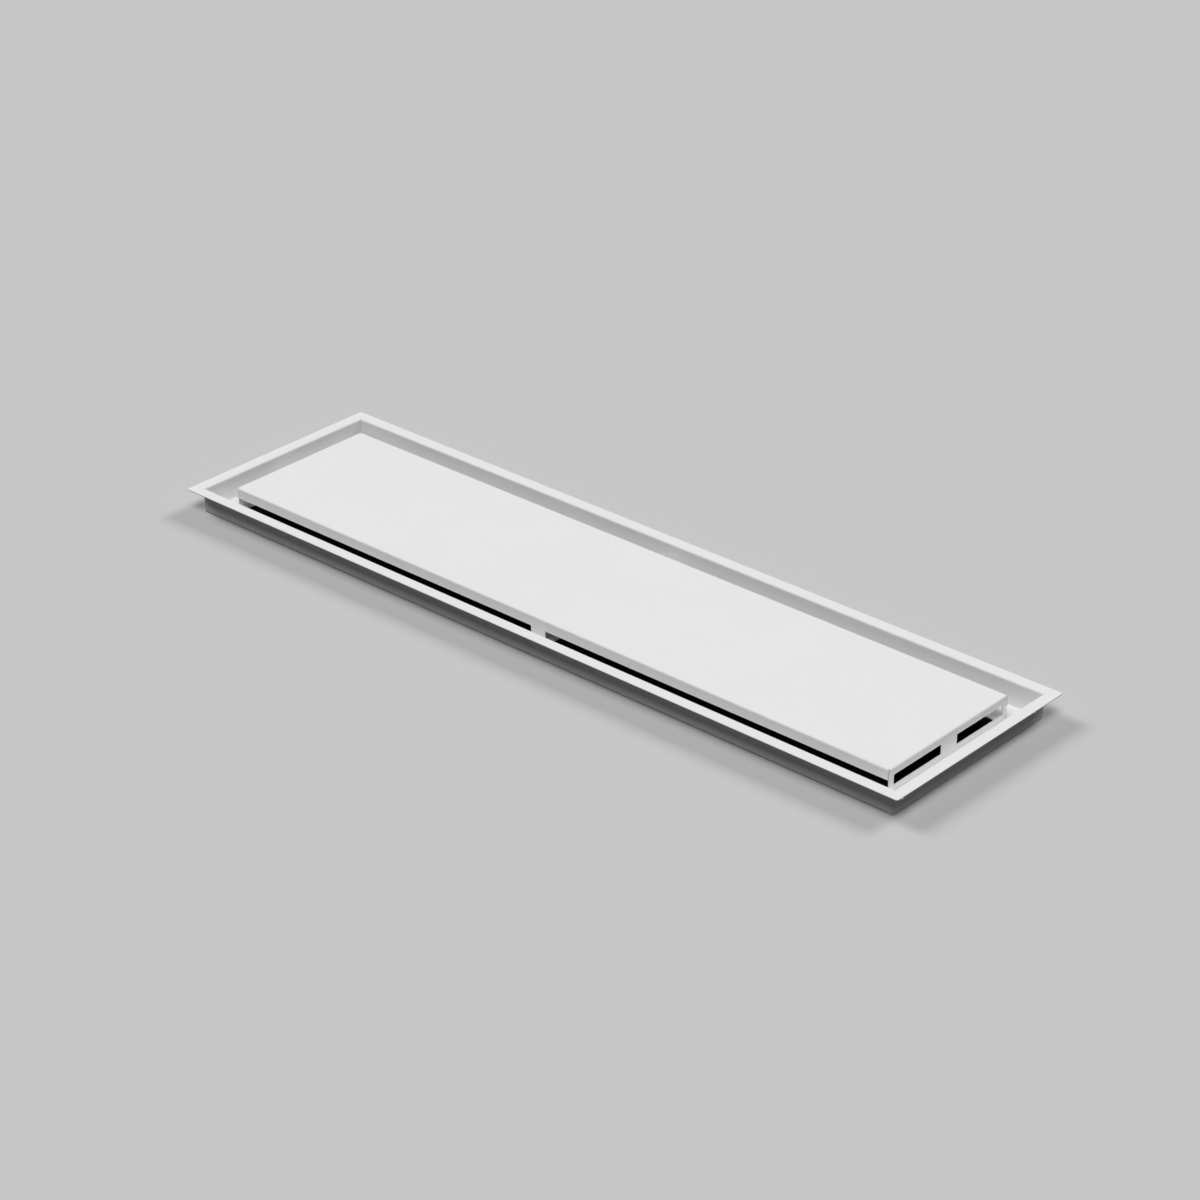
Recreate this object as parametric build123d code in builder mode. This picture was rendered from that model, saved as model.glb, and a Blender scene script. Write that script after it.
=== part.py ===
from build123d import *
import os

os.makedirs("parts", exist_ok=True)

# Ceiling vent cover with a flush panel and an air slot all round.
# It lies face up: X along its length, Z = 0 under the ledge, Z = frame_depth at the face.

# Sheet steel and its folds
sheet = 1.0             # thickness of both blanks
inner_bend = 1.0        # inside radius of every fold
seam_gap = 0.3          # open butt joint where two folded walls meet

# Outer frame
frame_length = 1000.0
frame_width = 275.0
frame_depth = 29.0      # underside of the ledge to the face of the flange
flange_reach = 13.5     # flange beyond the collar's outer face
ledge_under = 10.0      # ledge that runs on under the cover, past the cover's walls
bridge_width = 24.0     # strip left between the two duct openings
duct_corner = 3.0       # radius in the corners of the duct openings
screw_hole = 4.2        # diameter of the fixing holes in the short collar walls
screw_inset = 14.0      # hole centre to the collar's outer long face

# Cover panel
air_gap = 25.0          # clear slot between the collar and the cover's walls
rail_drop = 12.3        # depth of the folded rail on the long sides
window_head = 8.6       # face of the cover to the top of the end windows
window_height = 11.7
post_width = 8.0        # wall left between an end window and the corner
web_width = 26.0        # wall left between the two end windows
tab_width = 20.0        # leg in the middle of each long side
foot_reach = 8.0        # foot turned in under the cover, from the wall's outer face

# Worked out
outer_bend = inner_bend + sheet
mid_bend = inner_bend + sheet / 2
collar_length = frame_length - 2 * flange_reach
collar_width = frame_width - 2 * flange_reach
cover_length = collar_length - 2 * (sheet + air_gap)
cover_width = collar_width - 2 * (sheet + air_gap)
duct_width = cover_width - 2 * ledge_under
window_length = (cover_width - web_width) / 2 - post_width
window_z = frame_depth - window_head - window_height / 2
rail_z = frame_depth - rail_drop
face_z = frame_depth - sheet / 2          # middle of the sheet at the face
foot_z = sheet + sheet / 2                # middle of the sheet of a foot, on the ledge
fold_top_z = frame_depth - outer_bend     # where the wall's flat ends under the face
fold_foot_z = sheet + outer_bend          # where the wall's flat ends above the foot
screw_pitch = collar_width - 2 * screw_inset
mitre_length = (outer_bend + 2 * seam_gap) * 2 ** 0.5     # runs a little past the fold


# Outer frame: ledge, collar and flange folded from one sheet
with BuildPart() as outer_frame:
    half_x, half_y = collar_length / 2, collar_width / 2
    with BuildLine():
        Polyline(
            (0, -half_y), (-half_x, -half_y), (-half_x, half_y),
            (half_x, half_y), (half_x, -half_y), (0, -half_y),
        )
    side_plane = Plane(origin=(0, -half_y, 0), x_dir=(0, -1, 0), z_dir=(-1, 0, 0))
    with BuildSketch(side_plane):
        with BuildLine():
            FilletPolyline(
                (-(sheet + air_gap + ledge_under), sheet / 2),
                (-sheet / 2, sheet / 2),
                (-sheet / 2, face_z),
                (flange_reach, face_z),
                radius=mid_bend,
            )
        trace(line_width=sheet)
    sweep(transition=Transition.RIGHT)

    # Bridge across the duct, between its two openings
    with BuildSketch():
        Rectangle(bridge_width, duct_width)
    extrude(amount=sheet)
    duct_corners = outer_frame.edges().filter_by(Axis.Z).filter_by_position(Axis.Z, 0, sheet)
    fillet(duct_corners, radius=duct_corner)

    # Fixing holes through the short collar walls, at half depth
    with BuildSketch(Plane.YZ):
        with Locations((0, frame_depth / 2)):
            with GridLocations(screw_pitch, 0, 2, 1):
                Circle(screw_hole / 2)
    extrude(amount=collar_length / 2, both=True, mode=Mode.SUBTRACT)

    # Butt seams of the collar: each wall laps its neighbour at one end only
    seam_height = fold_top_z - outer_bend
    seam_z = outer_bend + seam_height / 2
    lap_x = half_x - sheet - seam_gap / 2
    lap_y = half_y - sheet - seam_gap / 2
    with Locations((lap_x, -half_y + sheet / 2, seam_z), (-lap_x, half_y - sheet / 2, seam_z)):
        Box(seam_gap, sheet, seam_height, mode=Mode.SUBTRACT)
    with Locations((half_x - sheet / 2, lap_y, seam_z), (-half_x + sheet / 2, -lap_y, seam_z)):
        Box(sheet, seam_gap, seam_height, mode=Mode.SUBTRACT)

    # Mitre slits through the flange's fold at the corners
    mitre_x = half_x - sheet + outer_bend / 2
    mitre_y = half_y - sheet + outer_bend / 2
    for across, angle in ((1, 45), (-1, -45)):
        with Locations(
            Location((mitre_x, across * mitre_y, fold_top_z), (0, 0, angle)),
            Location((-mitre_x, -across * mitre_y, fold_top_z), (0, 0, angle)),
        ):
            Box(mitre_length, seam_gap, outer_bend,
                align=(Align.CENTER, Align.CENTER, Align.MIN), mode=Mode.SUBTRACT)

outer_frame.part.label = "outer_frame"
export_step(outer_frame.part, "parts/outer_frame.step")


# Cover panel: face, end walls, rails, legs and feet folded from one sheet
with BuildPart() as cover_panel:
    end_x, side_y = cover_length / 2, cover_width / 2
    fold_x, fold_y = end_x - outer_bend, side_y - outer_bend
    with BuildSketch(Plane.XY.offset(frame_depth)):
        Rectangle(2 * fold_x, 2 * fold_y)
    extrude(amount=-sheet)

    # Fold all round the face, with a wall as deep as the rails of the long sides
    with BuildLine():
        Polyline(
            (0, -side_y), (-end_x, -side_y), (-end_x, side_y),
            (end_x, side_y), (end_x, -side_y), (0, -side_y),
        )
    with BuildSketch(Plane(origin=(0, -side_y, 0), x_dir=(0, -1, 0), z_dir=(-1, 0, 0))):
        with BuildLine():
            FilletPolyline(
                (-2 * outer_bend, face_z),
                (-sheet / 2, face_z),
                (-sheet / 2, rail_z),
                radius=mid_bend,
            )
        trace(line_width=sheet)
    sweep(transition=Transition.RIGHT)

    # End wall down to the ledge, with its foot turned in
    with BuildSketch(Plane.XZ):
        with BuildLine():
            FilletPolyline(
                (end_x - sheet / 2, fold_top_z),
                (end_x - sheet / 2, foot_z),
                (end_x - foot_reach, foot_z),
                radius=mid_bend,
            )
        trace(line_width=sheet)
    extrude(amount=fold_y, both=True)

    # The end wall runs out to the corner at the end where it laps the rail
    with Locations((end_x - sheet, -side_y, fold_foot_z)):
        Box(sheet, outer_bend, fold_top_z - fold_foot_z, align=Align.MIN)

    # Leg in the middle of the side, with its foot on the ledge
    with BuildSketch(Plane.YZ):
        with BuildLine():
            FilletPolyline(
                (-(side_y - sheet / 2), fold_top_z),
                (-(side_y - sheet / 2), foot_z),
                (-(side_y - foot_reach), foot_z),
                radius=mid_bend,
            )
        trace(line_width=sheet)
    extrude(amount=tab_width / 2, both=True)

    # The other end wall and leg are the same, half a turn round
    add(cover_panel.part.rotate(Axis.Z, 180))

    # Two windows in each end wall
    with BuildSketch(Plane.YZ):
        with Locations((0, window_z)):
            with GridLocations(web_width + window_length, 0, 2, 1):
                Rectangle(window_length, window_height)
    extrude(amount=end_x, both=True, mode=Mode.SUBTRACT)

    # Seams between rails and end walls, open at the rail's lower edge
    rail_seam = fold_top_z - rail_z
    butt_x = end_x - sheet - seam_gap / 2
    butt_y = side_y - sheet - seam_gap / 2
    seam_mid = rail_z + rail_seam / 2
    with Locations((butt_x, -side_y + sheet / 2, seam_mid), (-butt_x, side_y - sheet / 2, seam_mid)):
        Box(seam_gap, sheet, rail_seam, mode=Mode.SUBTRACT)
    with Locations((end_x - sheet / 2, butt_y, seam_mid), (-end_x + sheet / 2, -butt_y, seam_mid)):
        Box(sheet, seam_gap, rail_seam, mode=Mode.SUBTRACT)

    # Mitre slits through the face's fold at the corners
    mitre_x, mitre_y = end_x - outer_bend / 2, side_y - outer_bend / 2
    for across, angle in ((1, 45), (-1, -45)):
        with Locations(
            Location((mitre_x, across * mitre_y, fold_top_z), (0, 0, angle)),
            Location((-mitre_x, -across * mitre_y, fold_top_z), (0, 0, angle)),
        ):
            Box(mitre_length, seam_gap, outer_bend,
                align=(Align.CENTER, Align.CENTER, Align.MIN), mode=Mode.SUBTRACT)

cover_panel.part.label = "cover_panel"
export_step(cover_panel.part, "parts/cover_panel.step")
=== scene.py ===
import math
from itertools import pairwise

import bmesh
import bpy
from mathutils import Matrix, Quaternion, Vector
from mathutils.geometry import tessellate_polygon


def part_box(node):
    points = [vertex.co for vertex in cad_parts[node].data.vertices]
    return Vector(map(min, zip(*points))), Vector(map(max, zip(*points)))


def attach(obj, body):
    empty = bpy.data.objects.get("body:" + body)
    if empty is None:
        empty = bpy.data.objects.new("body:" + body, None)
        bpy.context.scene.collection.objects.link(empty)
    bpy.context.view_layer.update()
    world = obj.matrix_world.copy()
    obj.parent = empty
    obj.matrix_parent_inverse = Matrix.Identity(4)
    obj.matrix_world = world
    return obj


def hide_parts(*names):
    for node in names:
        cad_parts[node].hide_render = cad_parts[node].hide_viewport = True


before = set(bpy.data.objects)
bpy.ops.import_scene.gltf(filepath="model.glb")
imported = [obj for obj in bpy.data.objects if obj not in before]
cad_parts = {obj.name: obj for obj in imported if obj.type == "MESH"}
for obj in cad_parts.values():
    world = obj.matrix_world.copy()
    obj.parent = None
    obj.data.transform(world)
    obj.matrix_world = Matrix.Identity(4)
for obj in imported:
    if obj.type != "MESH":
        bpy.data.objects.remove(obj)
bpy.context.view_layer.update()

# The sheets' lengths are in millimetres until they go into a mesh
MM = 0.001

# Sheet steel, its folds and its cut edges
SHEET = 1.0
INNER_BEND = 1.0
OUTER_BEND = INNER_BEND + SHEET
SEAM = 0.3                      # open joint where two folded walls meet
BUTT = SHEET + SEAM             # how far a wall's butt end stops short of the corner
SLIT = SEAM / math.sqrt(2)      # half the width of a mitre slit, measured along the wall
MITRE_RELIEF = 1.2              # share by which the cover's slits widen in mid fold
EASE = 0.4                      # length over which a seam or a slit opens
COAT_ROUND = 0.12               # radius to which the coat rounds a cut edge

# Outer frame
FLANGE = 13.5                   # beyond the collar's outer face
FLANGE_CORNER = 2.5
LEDGE_UNDER = 10.0              # ledge under the cover, past the outer face of its long sides
LEDGE_UNDER_END = 5.5           # the same at its two ends
BRIDGE = 24.0                   # strip left between the two duct openings
DUCT_CORNER = 3.0
SCREW_HOLE = 4.2
SCREW_INSET = 14.0              # hole centre to the collar's outer long face

# Cover panel
RAIL_DROP = 12.3                # depth of the folded rail on the long sides
WINDOW_HEAD = 8.6               # face of the cover to the top of the windows
WINDOW_HEIGHT = 11.7
WINDOW_CORNER = 0.5
POST = 8.0                      # wall left between a window and the corner
WEB = 26.0                      # wall left between the two windows
LEG = 20.0                      # width of the leg in the middle of each long side
LEG_CORNER = 1.0                # radius between the leg and the rail
FOOT = 8.0                      # a leg's foot, from the wall's outer face
FOOT_END = 5.0                  # an end wall's foot, from the wall's outer face

# Fineness of the round stretches
BEND_STEPS = 8                  # facets in a fold's quarter turn
CORNER_STEPS = 6                # edges in a quarter turn of a flat corner
LEG_CORNER_STEPS = 4
HOLE_STEPS = 32                 # edges round a fixing hole
SAME_SPOT = 3                   # decimals to which two points are the same one

# The coat rounds the rim of a sheet at the points where both of these are exceeded
TIGHT_CORNER = 0.3              # 1 plus the cosine of the turn from one edge to the next
SAME_FACE = 0.7                 # cosine of the angle between the faces beside the two edges

SHARP_ANGLE = math.radians(50)  # edges between faces that turn more are shaded sharp

# Places worked out from the boxes of the two CAD pieces
FRAME_BOX = [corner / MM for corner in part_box("outer_frame")]
COVER_BOX = [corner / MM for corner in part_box("cover_panel")]
FRAME_TOP = FRAME_BOX[1].z
COVER_TOP = COVER_BOX[1].z
COVER_FOOT = COVER_BOX[0].z
DUCT_X = COVER_BOX[1].x - LEDGE_UNDER_END
DUCT_Y = COVER_BOX[1].y - LEDGE_UNDER
LEDGE_FOLD_Z = OUTER_BEND                   # the collar is flat between these two heights
FLANGE_FOLD_Z = FRAME_TOP - OUTER_BEND
FOOT_FOLD_Z = COVER_FOOT + OUTER_BEND       # and the cover's walls between these two
FACE_FOLD_Z = COVER_TOP - OUTER_BEND
RAIL_Z = COVER_TOP - RAIL_DROP
WINDOW_TOP = COVER_TOP - WINDOW_HEAD

# White powder coat: sizes are in millimetres, and pairs go from a pattern's low to its high
COAT_TONE = (0.834, 0.844)
CUT_TONE = 0.62                 # a darker tone on a cut edge
CLOUD_SIZE = 70.0
GRAIN = (0.985, 1.01)           # factor on the tone
GRAIN_SIZE = 1.6
ROUGHNESS = (0.50, 0.60)
SHEEN_SIZE = 12.0
PEEL_SIZE = 2.0                 # orange peel
PEEL_DEPTH = 0.12
PEEL_STRENGTH = 0.6
COAT_IOR = 1.5
NOISE_RANGE = (0.3, 0.7)        # nearly all of a noise texture lies between these
LARGE_DETAIL = 3.0              # levels of detail in the larger patterns
SMALL_DETAIL = 2.0

# Camera, in metres: the photograph's own place and aim, worked out from the cover's edges
CAMERA_SPOT = Vector((2.0796, -2.3457, 1.6965))
CAMERA_AIM = Vector((0.02184, -0.02490, 0.0290))
CAMERA_ROLL = math.radians(-0.1236)
LENS_MM = 100.0
SENSOR_MM = 36.0

# Lamps: name, lean from straight overhead and turn from the camera's side, both in degrees,
# and how bright a white face square on to the lamp looks
LAMPS = (
    ("front", 32, 354, 0.44),
    ("rear_left", 48, 240, 0.42),
    ("rear_right", 48, 120, 0.39),
)
LAMP_ANGLE = math.radians(24)   # a wide sun, for soft shadows
LAMP_DISTANCE = 3.0             # metres, and a sun gives the same light from anywhere
FILL = 0.03                     # light from all round

FLOOR_SIZE = 60.0               # metres
PALE = 0.60                     # how pale the floor and the backdrop look
FLOOR_BOUNCE = 0.10             # how much of the light the floor throws back on the cover
UNDER_OPENINGS_PAINTED_SHADE = 0.01                # how much light the near-black floor patch under the openings throws back: painted shade that makes the openings look black


def edge_profile():
    """A cut edge's steps through the sheet, as shares of its thickness and of the coat's round."""
    middle = 1 - math.cos(math.pi / 4)
    share = COAT_ROUND / SHEET
    near = [(share * middle, middle), (share, 0.0)]
    far = [(1 - depth, inset) for depth, inset in reversed(near)]
    return near + far


def rim_inset(outward, normals):
    """The way in from two edges that meet, by the coat's round, or none at a tight corner or fold."""
    one, two = outward
    opening = 1 + one.dot(two)
    if opening > TIGHT_CORNER and normals[0].dot(normals[1]) > SAME_FACE:
        return (one + two) / opening * (COAT_ROUND * MM)
    return Vector()


class Sheet:
    """A folded sheet, where each point of the visible side has its partner on the other side."""

    def __init__(self):
        self.mesh = bmesh.new()
        self.cut = self.mesh.verts.layers.float.new("cut_edge")
        self.known = {}
        self.partner = {}

    def point(self, spot, partner):
        """The point at this spot, which is made only once."""
        key = tuple(round(value, SAME_SPOT) for value in spot)
        if key not in self.known:
            vertex = self.mesh.verts.new(Vector(spot) * MM)
            self.known[key] = vertex
            self.partner[vertex] = Vector(partner) * MM
        return self.known[key]

    def strip(self, rows):
        """Faces between rows of points that follow each other over a fold."""
        for near, far in pairwise(rows):
            for i in range(len(near) - 1):
                self.mesh.faces.new((near[i], far[i], far[i + 1], near[i + 1]))

    def patch(self, loops, facing):
        """A flat stretch from its outline and then its holes, as (u, v, point).

        Facing is 1 where the visible side is the one that sees u turn to v anticlockwise.
        """
        spots = [[Vector((u, v, 0)) for u, v, _ in loop] for loop in loops]
        places = [spot for loop in spots for spot in loop]
        points = [point for loop in loops for _, _, point in loop]
        for corners in tessellate_polygon(spots):
            a, b, c = (places[i] for i in corners)
            if (b - a).cross(c - a).z * facing < 0:
                corners = corners[::-1]
            self.mesh.faces.new([points[i] for i in corners])

    def rim(self):
        """The open edges, each as its start, its end and the normal of its face."""
        edges = []
        for face in self.mesh.faces:
            for loop in face.loops:
                if len(loop.edge.link_faces) == 1:
                    edges.append((loop.vert, loop.link_loop_next.vert, face.normal.copy()))
        return edges

    def rim_insets(self, edges):
        """How far each point of the rim moves in to make room for the coat's round."""
        outward, normals = {}, {}
        for start, end, normal in edges:
            side = (end.co - start.co).cross(normal).normalized()
            for vertex in (start, end):
                outward.setdefault(vertex, []).append(side)
                normals.setdefault(vertex, []).append(normal)
        return {vertex: rim_inset(outward[vertex], normals[vertex]) for vertex in outward}

    def cut_through(self, vertex, inset):
        """The points of a cut edge from this one, which moves in, to the other side."""
        front = vertex.co.copy()
        through = self.partner[vertex] - front
        chain = [vertex]
        for depth, share in edge_profile():
            made = self.mesh.verts.new(front - inset * share + through * depth)
            made[self.cut] = 1.0
            chain.append(made)
        chain.append(self.mesh.verts.new(front - inset + through))
        vertex.co = front - inset
        return chain

    def close(self):
        """Adds the other side, and the cut edges between the two."""
        self.mesh.normal_update()
        fronts = list(self.mesh.faces)
        edges = self.rim()
        insets = self.rim_insets(edges)
        chains = {}
        for vertex in list(self.mesh.verts):
            if vertex in insets:
                chains[vertex] = self.cut_through(vertex, insets[vertex])
            else:
                chains[vertex] = [vertex, self.mesh.verts.new(self.partner[vertex])]
        for face in fronts:
            self.mesh.faces.new([chains[vertex][-1] for vertex in reversed(face.verts)])
        for start, end, _ in edges:
            one, two = chains[start], chains[end]
            for i in range(len(one) - 1):
                self.mesh.faces.new((two[i], one[i], one[i + 1], two[i + 1]))

    def keep_inside(self, low, high):
        for vertex in self.mesh.verts:
            limits = zip(vertex.co, low, high)
            vertex.co = [min(max(value, least), most) for value, least, most in limits]

    def finish(self, name, node, coat):
        """Makes the sheet the piece that stands for a CAD node."""
        self.close()
        self.keep_inside(*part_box(node))
        mesh = bpy.data.meshes.new(name)
        self.mesh.to_mesh(mesh)
        self.mesh.free()
        mesh.shade_smooth()
        mesh.set_sharp_from_angle(angle=SHARP_ANGLE)
        mesh.materials.append(coat)
        piece = add_object(name, mesh)
        even = piece.modifiers.new("even_shading", "WEIGHTED_NORMAL")
        even.keep_sharp = True
        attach(piece, "root")
        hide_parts(node)


class Flap:
    """One side of a rectangular sheet.

    Its points are measured along the side, out from the wall's outer face, and up.
    """

    def __init__(self, sheet, outward, half):
        self.sheet = sheet
        self.outward = Vector(outward)
        self.forward = Vector((-outward[1], outward[0]))
        self.reach = abs(self.outward.dot(half))
        self.half = abs(self.forward.dot(half))
        self.long = outward[0] == 0

    def place(self, along, out, z):
        spot = self.outward * (self.reach + out) + self.forward * along
        return (spot.x, spot.y, z)

    def at(self, along, front, back, along_back=None):
        """A point with (out, z) on the visible side, and (out, z) of its partner behind."""
        behind = along if along_back is None else along_back
        return self.sheet.point(self.place(along, *front), self.place(behind, *back))

    def row(self, front, back, gap=0.0):
        """The two ends of a row across a fold: on the mitres, or short of them by gap."""
        one, two = self.half + front[0] - gap, self.half + back[0] - gap
        return [self.at(-one, front, back, -two), self.at(one, front, back, two)]

    def across(self, half, front, back):
        """A row that is narrower than the side."""
        return [self.at(-half, front, back), self.at(half, front, back)]

    def inner_face(self, spots):
        """Points (along, z) of a wall that shows its inner face, as a patch takes them."""
        return [(along, z, self.at(along, (-SHEET, z), (0, z))) for along, z in spots]

    def outer_face(self, spots):
        """The same on a wall that shows its outer face, with z turned over for the patch."""
        return [(along, -z, self.at(along, (0, z), (-SHEET, z))) for along, z in spots]


def sides(sheet, half):
    """The front, right, back and left side."""
    return [Flap(sheet, outward, half) for outward in ((0, -1), (1, 0), (0, 1), (-1, 0))]


def fold(centre, front, back, start, end):
    """Pairs of (out, z) points round a fold, at its visible and at its other radius."""
    pairs = []
    for step in range(BEND_STEPS + 1):
        angle = math.radians(start + (end - start) * step / BEND_STEPS)
        way = Vector((math.cos(angle), math.sin(angle)))
        pairs.append((tuple(Vector(centre) + way * front), tuple(Vector(centre) + way * back)))
    return pairs


def curve(u, v, radius, start, end, steps):
    """Points on an arc round (u, v), with its start and end in degrees."""
    spots = []
    for step in range(steps + 1):
        angle = math.radians(start + (end - start) * step / steps)
        spots.append((u + radius * math.cos(angle), v + radius * math.sin(angle)))
    return spots


def circle(u, v, radius):
    return curve(u, v, radius, 0, 360, HOLE_STEPS)[:-1]


def rounded(u0, u1, v0, v1, radius):
    """The outline of a rectangle with round corners."""
    right, left = u1 - radius, u0 + radius
    top, bottom = v1 - radius, v0 + radius
    spots = []
    for u, v, start in ((right, top, 0), (left, top, 90), (left, bottom, 180), (right, bottom, 270)):
        spots += curve(u, v, radius, start, start + 90, CORNER_STEPS)
    return spots


def flat_middle(corners):
    """The outline of the flat stretch between the folds, from its four corner points."""
    return [(corner.co.x / MM, corner.co.y / MM, corner) for corner in corners]


def collar_wall(flap, ledge_row, flange_row):
    """The wall between its two folds, with fixing holes on the short sides."""
    low_end = flap.half - SHEET
    high_end = flap.half - SHEET - SLIT
    rise = (LEDGE_FOLD_Z + EASE, FLANGE_FOLD_Z - EASE)
    outline = [(-low_end, LEDGE_FOLD_Z, ledge_row[0]), (low_end, LEDGE_FOLD_Z, ledge_row[1])]
    outline += flap.inner_face([(flap.half - BUTT, z) for z in rise])
    outline += [(high_end, FLANGE_FOLD_Z, flange_row[1]), (-high_end, FLANGE_FOLD_Z, flange_row[0])]
    outline += flap.inner_face([(-flap.half, z) for z in reversed(rise)])
    loops = [outline]
    if not flap.long:
        for way in (-1, 1):
            hole = circle(way * (flap.half - SCREW_INSET), FRAME_TOP / 2, SCREW_HOLE / 2)
            loops.append(flap.inner_face(hole))
    flap.sheet.patch(loops, -1)


def flange(flap, fold_row):
    """The flange from its fold out to half of each round corner."""
    fold_end = flap.half + INNER_BEND - SLIT
    reach = FLANGE - FLANGE_CORNER
    spots = [(flap.half + INNER_BEND + EASE, INNER_BEND + EASE)]
    spots += curve(flap.half + reach, reach, FLANGE_CORNER, 45, 90, CORNER_STEPS // 2)
    spots += [(-along, out) for along, out in reversed(spots)]
    outline = [(-fold_end, INNER_BEND, fold_row[0]), (fold_end, INNER_BEND, fold_row[1])]
    for along, out in spots:
        point = flap.at(along, (out, FRAME_TOP), (out, FRAME_TOP - SHEET))
        outline.append((along, out, point))
    flap.sheet.patch([outline], -1)


def frame_side(flap):
    """One side of the frame. Returns its corner of the ledge."""
    ledge_fold = [flap.row(front, back) for front, back in
                  fold((-OUTER_BEND, LEDGE_FOLD_Z), INNER_BEND, OUTER_BEND, -90, 0)]
    flange_fold = [flap.row(front, back, SLIT) for front, back in
                   fold((INNER_BEND, FLANGE_FOLD_Z), OUTER_BEND, INNER_BEND, 180, 90)]
    flap.sheet.strip(ledge_fold)
    flap.sheet.strip(flange_fold)
    collar_wall(flap, ledge_fold[-1], flange_fold[0])
    flange(flap, flange_fold[-1])
    return ledge_fold[0][0]


def ledge(sheet, corners):
    """The ledge and the bridge, round the two duct openings."""
    loops = [flat_middle(corners)]
    for way in (-1, 1):
        near, far = sorted((way * BRIDGE / 2, way * DUCT_X))
        opening = rounded(near, far, -DUCT_Y, DUCT_Y, DUCT_CORNER)
        loops.append([(x, y, sheet.point((x, y, SHEET), (x, y, 0))) for x, y in opening])
    sheet.patch(loops, 1)


def build_frame(coat):
    sheet = Sheet()
    half = Vector((FRAME_BOX[1].x - FLANGE, FRAME_BOX[1].y - FLANGE))
    ledge(sheet, [frame_side(flap) for flap in sides(sheet, half)])
    sheet.finish("frame_sheet", "outer_frame", coat)


def face_fold(flap):
    """The fold from the face down to a wall, with slits that are widest in mid fold."""
    pairs = fold((-OUTER_BEND, FACE_FOLD_Z), OUTER_BEND, INNER_BEND, 90, 0)
    rows = [flap.row(*pairs[0])]
    for step, (front, back) in enumerate(pairs[1:], 1):
        relief = 1 + MITRE_RELIEF * math.sin(math.pi * step / BEND_STEPS)
        rows.append(flap.row(front, back, SLIT * relief))
    return rows


def rail_ends(flap):
    """A rail's outline down from its butt end to the leg, and from the leg up at its lap end."""
    leg_side, leg_top = LEG / 2 + LEG_CORNER, RAIL_Z - LEG_CORNER
    down = [(flap.half - BUTT, FACE_FOLD_Z - EASE), (flap.half - BUTT, RAIL_Z)]
    down += curve(leg_side, leg_top, LEG_CORNER, 90, 180, LEG_CORNER_STEPS)
    up = curve(-leg_side, leg_top, LEG_CORNER, 0, 90, LEG_CORNER_STEPS)
    up += [(-flap.half, RAIL_Z), (-flap.half, FACE_FOLD_Z - EASE)]
    return down, up


def end_wall_ends(flap, foot_half):
    """An end wall's outline down its butt end to the foot, and from the foot up its lap end."""
    down = [(flap.half - BUTT, FACE_FOLD_Z - EASE), (flap.half - BUTT, RAIL_Z)]
    down.append((foot_half, RAIL_Z - EASE))
    up = [(-flap.half, FOOT_FOLD_Z + EASE), (-flap.half, FACE_FOLD_Z - EASE)]
    return down, up


def windows(flap):
    """The outlines of the two windows in an end wall."""
    loops = []
    for way in (-1, 1):
        near, far = sorted((way * WEB / 2, way * (flap.half - POST)))
        window = rounded(near, far, WINDOW_TOP - WINDOW_HEIGHT, WINDOW_TOP, WINDOW_CORNER)
        loops.append(flap.outer_face(window))
    return loops


def cover_wall(flap, fold_row, foot_row, foot_half):
    """A rail with its leg, or an end wall, from the fold under the face down to the foot."""
    down, up = rail_ends(flap) if flap.long else end_wall_ends(flap, foot_half)
    end = flap.half - SLIT
    outline = [(-end, -FACE_FOLD_Z, fold_row[0]), (end, -FACE_FOLD_Z, fold_row[1])]
    outline += flap.outer_face(down)
    outline += [(foot_half, -FOOT_FOLD_Z, foot_row[1]), (-foot_half, -FOOT_FOLD_Z, foot_row[0])]
    outline += flap.outer_face(up)
    holes = [] if flap.long else windows(flap)
    flap.sheet.patch([outline] + holes, -1)


def cover_side(flap):
    """One side of the cover, down to the foot on the ledge. Returns its corner of the face."""
    foot_half = LEG / 2 if flap.long else flap.half - OUTER_BEND
    reach = FOOT if flap.long else FOOT_END
    fold_rows = face_fold(flap)
    foot_rows = [flap.across(foot_half, front, back) for front, back in
                 fold((-OUTER_BEND, FOOT_FOLD_Z), OUTER_BEND, INNER_BEND, 0, -90)]
    flap.sheet.strip(fold_rows)
    cover_wall(flap, fold_rows[-1], foot_rows[0], foot_half)
    foot_end = flap.across(foot_half, (-reach, COVER_FOOT), (-reach, COVER_FOOT + SHEET))
    flap.sheet.strip(foot_rows + [foot_end])
    return fold_rows[0][0]


def build_cover(coat):
    sheet = Sheet()
    half = Vector((COVER_BOX[1].x, COVER_BOX[1].y))
    corners = [cover_side(flap) for flap in sides(sheet, half)]
    sheet.patch([flat_middle(corners)], 1)
    sheet.finish("cover_sheet", "cover_panel", coat)


def new_tree(owner):
    """The empty node tree of a material or a world."""
    owner.use_nodes = True
    owner.node_tree.nodes.clear()
    return owner.node_tree


def set_surface(tree, shader, kind="ShaderNodeOutputMaterial"):
    out = tree.nodes.new(kind)
    tree.links.new(shader, out.inputs["Surface"])


def noise(tree, place, size, detail):
    """A noise whose features are about size millimetres across."""
    node = tree.nodes.new("ShaderNodeTexNoise")
    node.inputs["Scale"].default_value = 1 / (size * MM)
    node.inputs["Detail"].default_value = detail
    tree.links.new(place, node.inputs["Vector"])
    return node.outputs["Fac"]


def spread(tree, pattern, low, high):
    """The pattern's range mapped on low to high."""
    node = tree.nodes.new("ShaderNodeMapRange")
    node.inputs["From Min"].default_value = NOISE_RANGE[0]
    node.inputs["From Max"].default_value = NOISE_RANGE[1]
    node.inputs["To Min"].default_value = low
    node.inputs["To Max"].default_value = high
    tree.links.new(pattern, node.inputs["Value"])
    return node.outputs["Result"]


def combined(tree, operation, one, two):
    node = tree.nodes.new("ShaderNodeMath")
    node.operation = operation
    tree.links.new(one, node.inputs[0])
    tree.links.new(two, node.inputs[1])
    return node.outputs["Value"]


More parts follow.
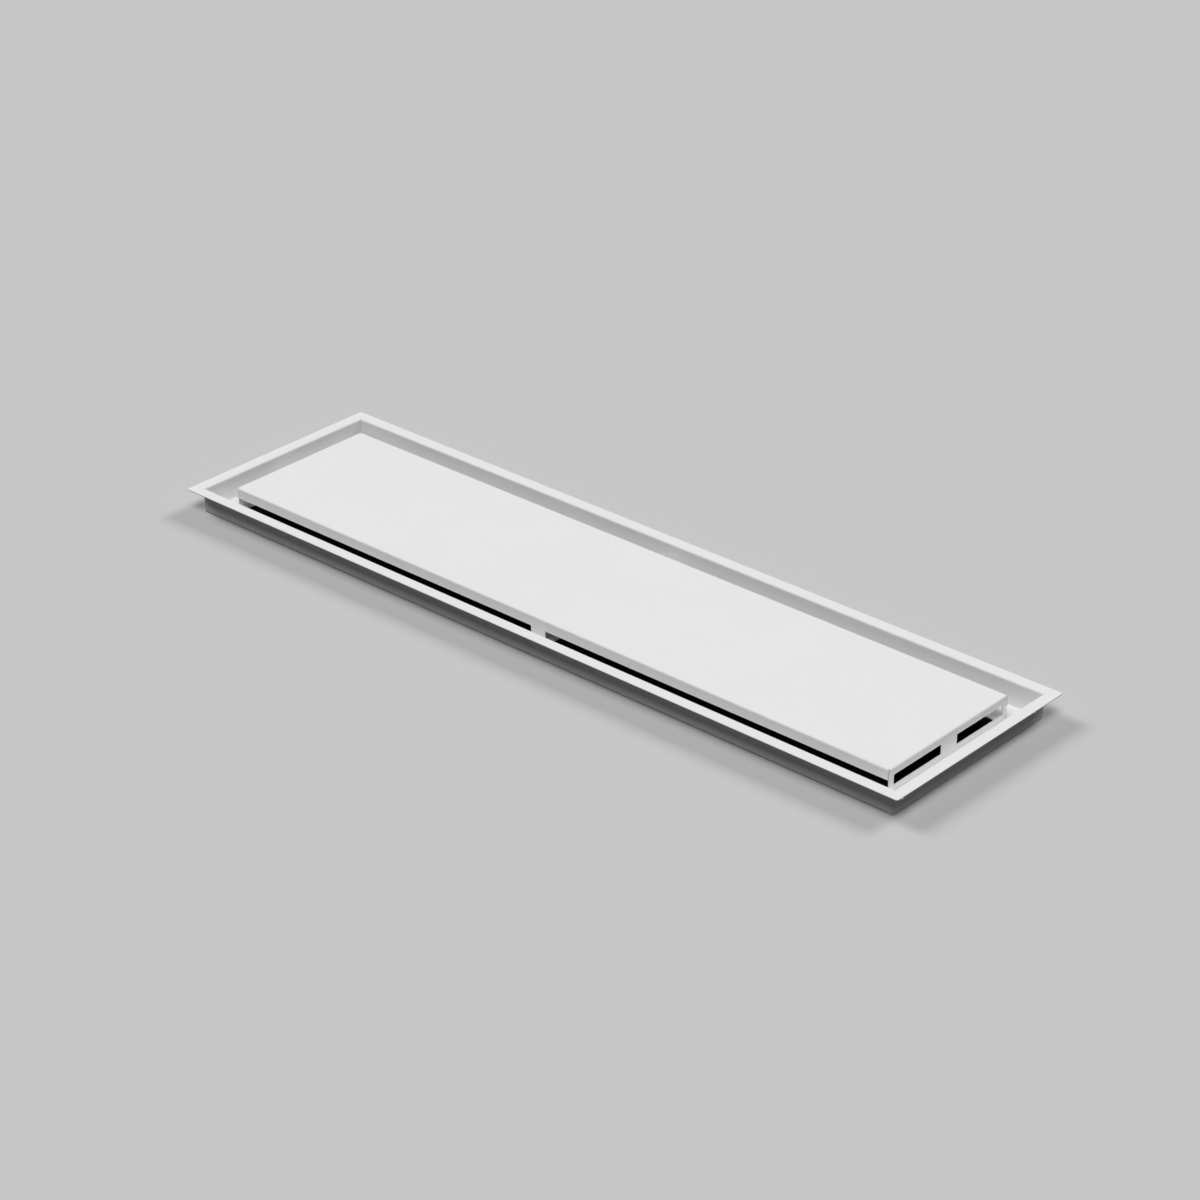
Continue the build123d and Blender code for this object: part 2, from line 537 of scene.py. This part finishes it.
def coat_colour(tree, place):
    """Barely visible clouds and fine grain, and a darker tone on the cut edges."""
    tone = spread(tree, noise(tree, place, CLOUD_SIZE, LARGE_DETAIL), *COAT_TONE)
    grain = spread(tree, noise(tree, place, GRAIN_SIZE, SMALL_DETAIL), *GRAIN)
    shade = combined(tree, "MULTIPLY", tone, grain)

    # A darker tone where the cut_edge attribute marks a cut edge
    cut = tree.nodes.new("ShaderNodeAttribute")
    cut.attribute_name = "cut_edge"
    darker_cut = tree.nodes.new("ShaderNodeMix")
    tree.links.new(cut.outputs["Fac"], darker_cut.inputs["Factor"])
    tree.links.new(shade, darker_cut.inputs["A"])
    darker_cut.inputs["B"].default_value = CUT_TONE

    colour = tree.nodes.new("ShaderNodeCombineColor")
    for channel in ("Red", "Green", "Blue"):
        tree.links.new(darker_cut.outputs["Result"], colour.inputs[channel])
    return colour.outputs["Color"]


def orange_peel(tree, place):
    bump = tree.nodes.new("ShaderNodeBump")
    bump.inputs["Strength"].default_value = PEEL_STRENGTH
    bump.inputs["Distance"].default_value = PEEL_DEPTH * MM
    tree.links.new(noise(tree, place, PEEL_SIZE, SMALL_DETAIL), bump.inputs["Height"])
    return bump.outputs["Normal"]


def powder_coat():
    """White powder coat with a slightly uneven satin sheen over fine orange peel."""
    material = bpy.data.materials.new("white_powder_coat")
    tree = new_tree(material)
    place = tree.nodes.new("ShaderNodeTexCoord").outputs["Object"]
    sheen = spread(tree, noise(tree, place, SHEEN_SIZE, LARGE_DETAIL), *ROUGHNESS)
    shader = tree.nodes.new("ShaderNodeBsdfPrincipled")
    shader.inputs["IOR"].default_value = COAT_IOR
    tree.links.new(coat_colour(tree, place), shader.inputs["Base Color"])
    tree.links.new(sheen, shader.inputs["Roughness"])
    tree.links.new(orange_peel(tree, place), shader.inputs["Normal"])
    set_surface(tree, shader.outputs["BSDF"])
    return material


def seen_rays(tree):
    """1 for the rays that show the floor and the backdrop, 0 for those that light the cover."""
    path = tree.nodes.new("ShaderNodeLightPath")
    total = path.outputs["Is Camera Ray"]
    for ray in ("Is Glossy Ray", "Is Transmission Ray"):
        total = combined(tree, "MAXIMUM", total, path.outputs[ray])
    return total


def grey(value):
    return (value, value, value, 1.0)


def mixed(tree, kind, lit, seen):
    """Two shaders of a kind: a grey for the light that they give, and one for how they look."""
    mix = tree.nodes.new("ShaderNodeMixShader")
    tree.links.new(seen_rays(tree), mix.inputs["Fac"])
    for slot, value in ((1, lit), (2, seen)):
        shader = tree.nodes.new(kind)
        shader.inputs["Color"].default_value = grey(value)
        tree.links.new(shader.outputs[0], mix.inputs[slot])
    return mix.outputs["Shader"]


def floor_paper():
    material = bpy.data.materials.new("floor_paper")
    tree = new_tree(material)
    set_surface(tree, mixed(tree, "ShaderNodeBsdfDiffuse", FLOOR_BOUNCE, PALE))
    return material


# Painted shade: a near-black floor patch under the openings, where the floor lies in the cover's
# shade
def painted_shade_under_openings():
    material = bpy.data.materials.new("painted_shade_under_openings")
    tree = new_tree(material)
    shader = tree.nodes.new("ShaderNodeBsdfDiffuse")
    shader.inputs["Color"].default_value = grey(UNDER_OPENINGS_PAINTED_SHADE)
    set_surface(tree, shader.outputs["BSDF"])
    return material


def add_object(name, data):
    made = bpy.data.objects.new(name, data)
    bpy.context.scene.collection.objects.link(made)
    return made


def add_floor():
    """A floor of three by three faces, the middle one a near-black patch under the openings as
    painted shade.
    """
    room = FLOOR_SIZE / 2
    xs = (-room, -DUCT_X * MM, DUCT_X * MM, room)
    ys = (-room, -DUCT_Y * MM, DUCT_Y * MM, room)
    spots = [(x, y, 0) for y in ys for x in xs]
    faces = []
    for j in range(len(ys) - 1):
        for i in range(len(xs) - 1):
            near = j * len(xs) + i
            far = near + len(xs)
            faces.append((near, near + 1, far + 1, far))
    mesh = bpy.data.meshes.new("floor")
    mesh.from_pydata(spots, [], faces)
    mesh.materials.append(floor_paper())
    mesh.materials.append(painted_shade_under_openings())
    # The middle face, under the openings, gets the painted shade
    middle = mesh.polygons[len(faces) // 2]
    middle.material_index = 1
    add_object("floor", mesh)


def add_camera():
    data = bpy.data.cameras.new("camera")
    data.lens = LENS_MM
    data.sensor_width = SENSOR_MM
    camera = add_object("camera", data)
    look = (CAMERA_AIM - CAMERA_SPOT).normalized()
    camera.rotation_mode = "QUATERNION"
    camera.rotation_quaternion = Quaternion(look, CAMERA_ROLL) @ look.to_track_quat("-Z", "Y")
    camera.location = CAMERA_SPOT
    bpy.context.scene.camera = camera


def add_lamp(name, lean, turn, strength):
    toward_camera = CAMERA_SPOT - CAMERA_AIM
    heading = math.atan2(toward_camera.y, toward_camera.x) + math.radians(turn)
    tilt = math.radians(lean)
    flat = math.sin(tilt)
    way = Vector((flat * math.cos(heading), flat * math.sin(heading), math.cos(tilt)))
    data = bpy.data.lights.new(name, "SUN")
    data.energy = strength * math.pi
    data.angle = LAMP_ANGLE
    lamp = add_object(name, data)
    lamp.location = way * LAMP_DISTANCE
    lamp.rotation_mode = "QUATERNION"
    lamp.rotation_quaternion = lamp.location.to_track_quat("Z", "Y")


def add_backdrop():
    """The world: a little fill light, and a pale look."""
    world = bpy.data.worlds.new("studio")
    tree = new_tree(world)
    set_surface(tree, mixed(tree, "ShaderNodeBackground", FILL, PALE), "ShaderNodeOutputWorld")
    bpy.context.scene.world = world


coat = powder_coat()
build_frame(coat)
build_cover(coat)
add_floor()
add_camera()
for lamp in LAMPS:
    add_lamp(*lamp)
add_backdrop()
bpy.context.scene.view_settings.view_transform = "Standard"
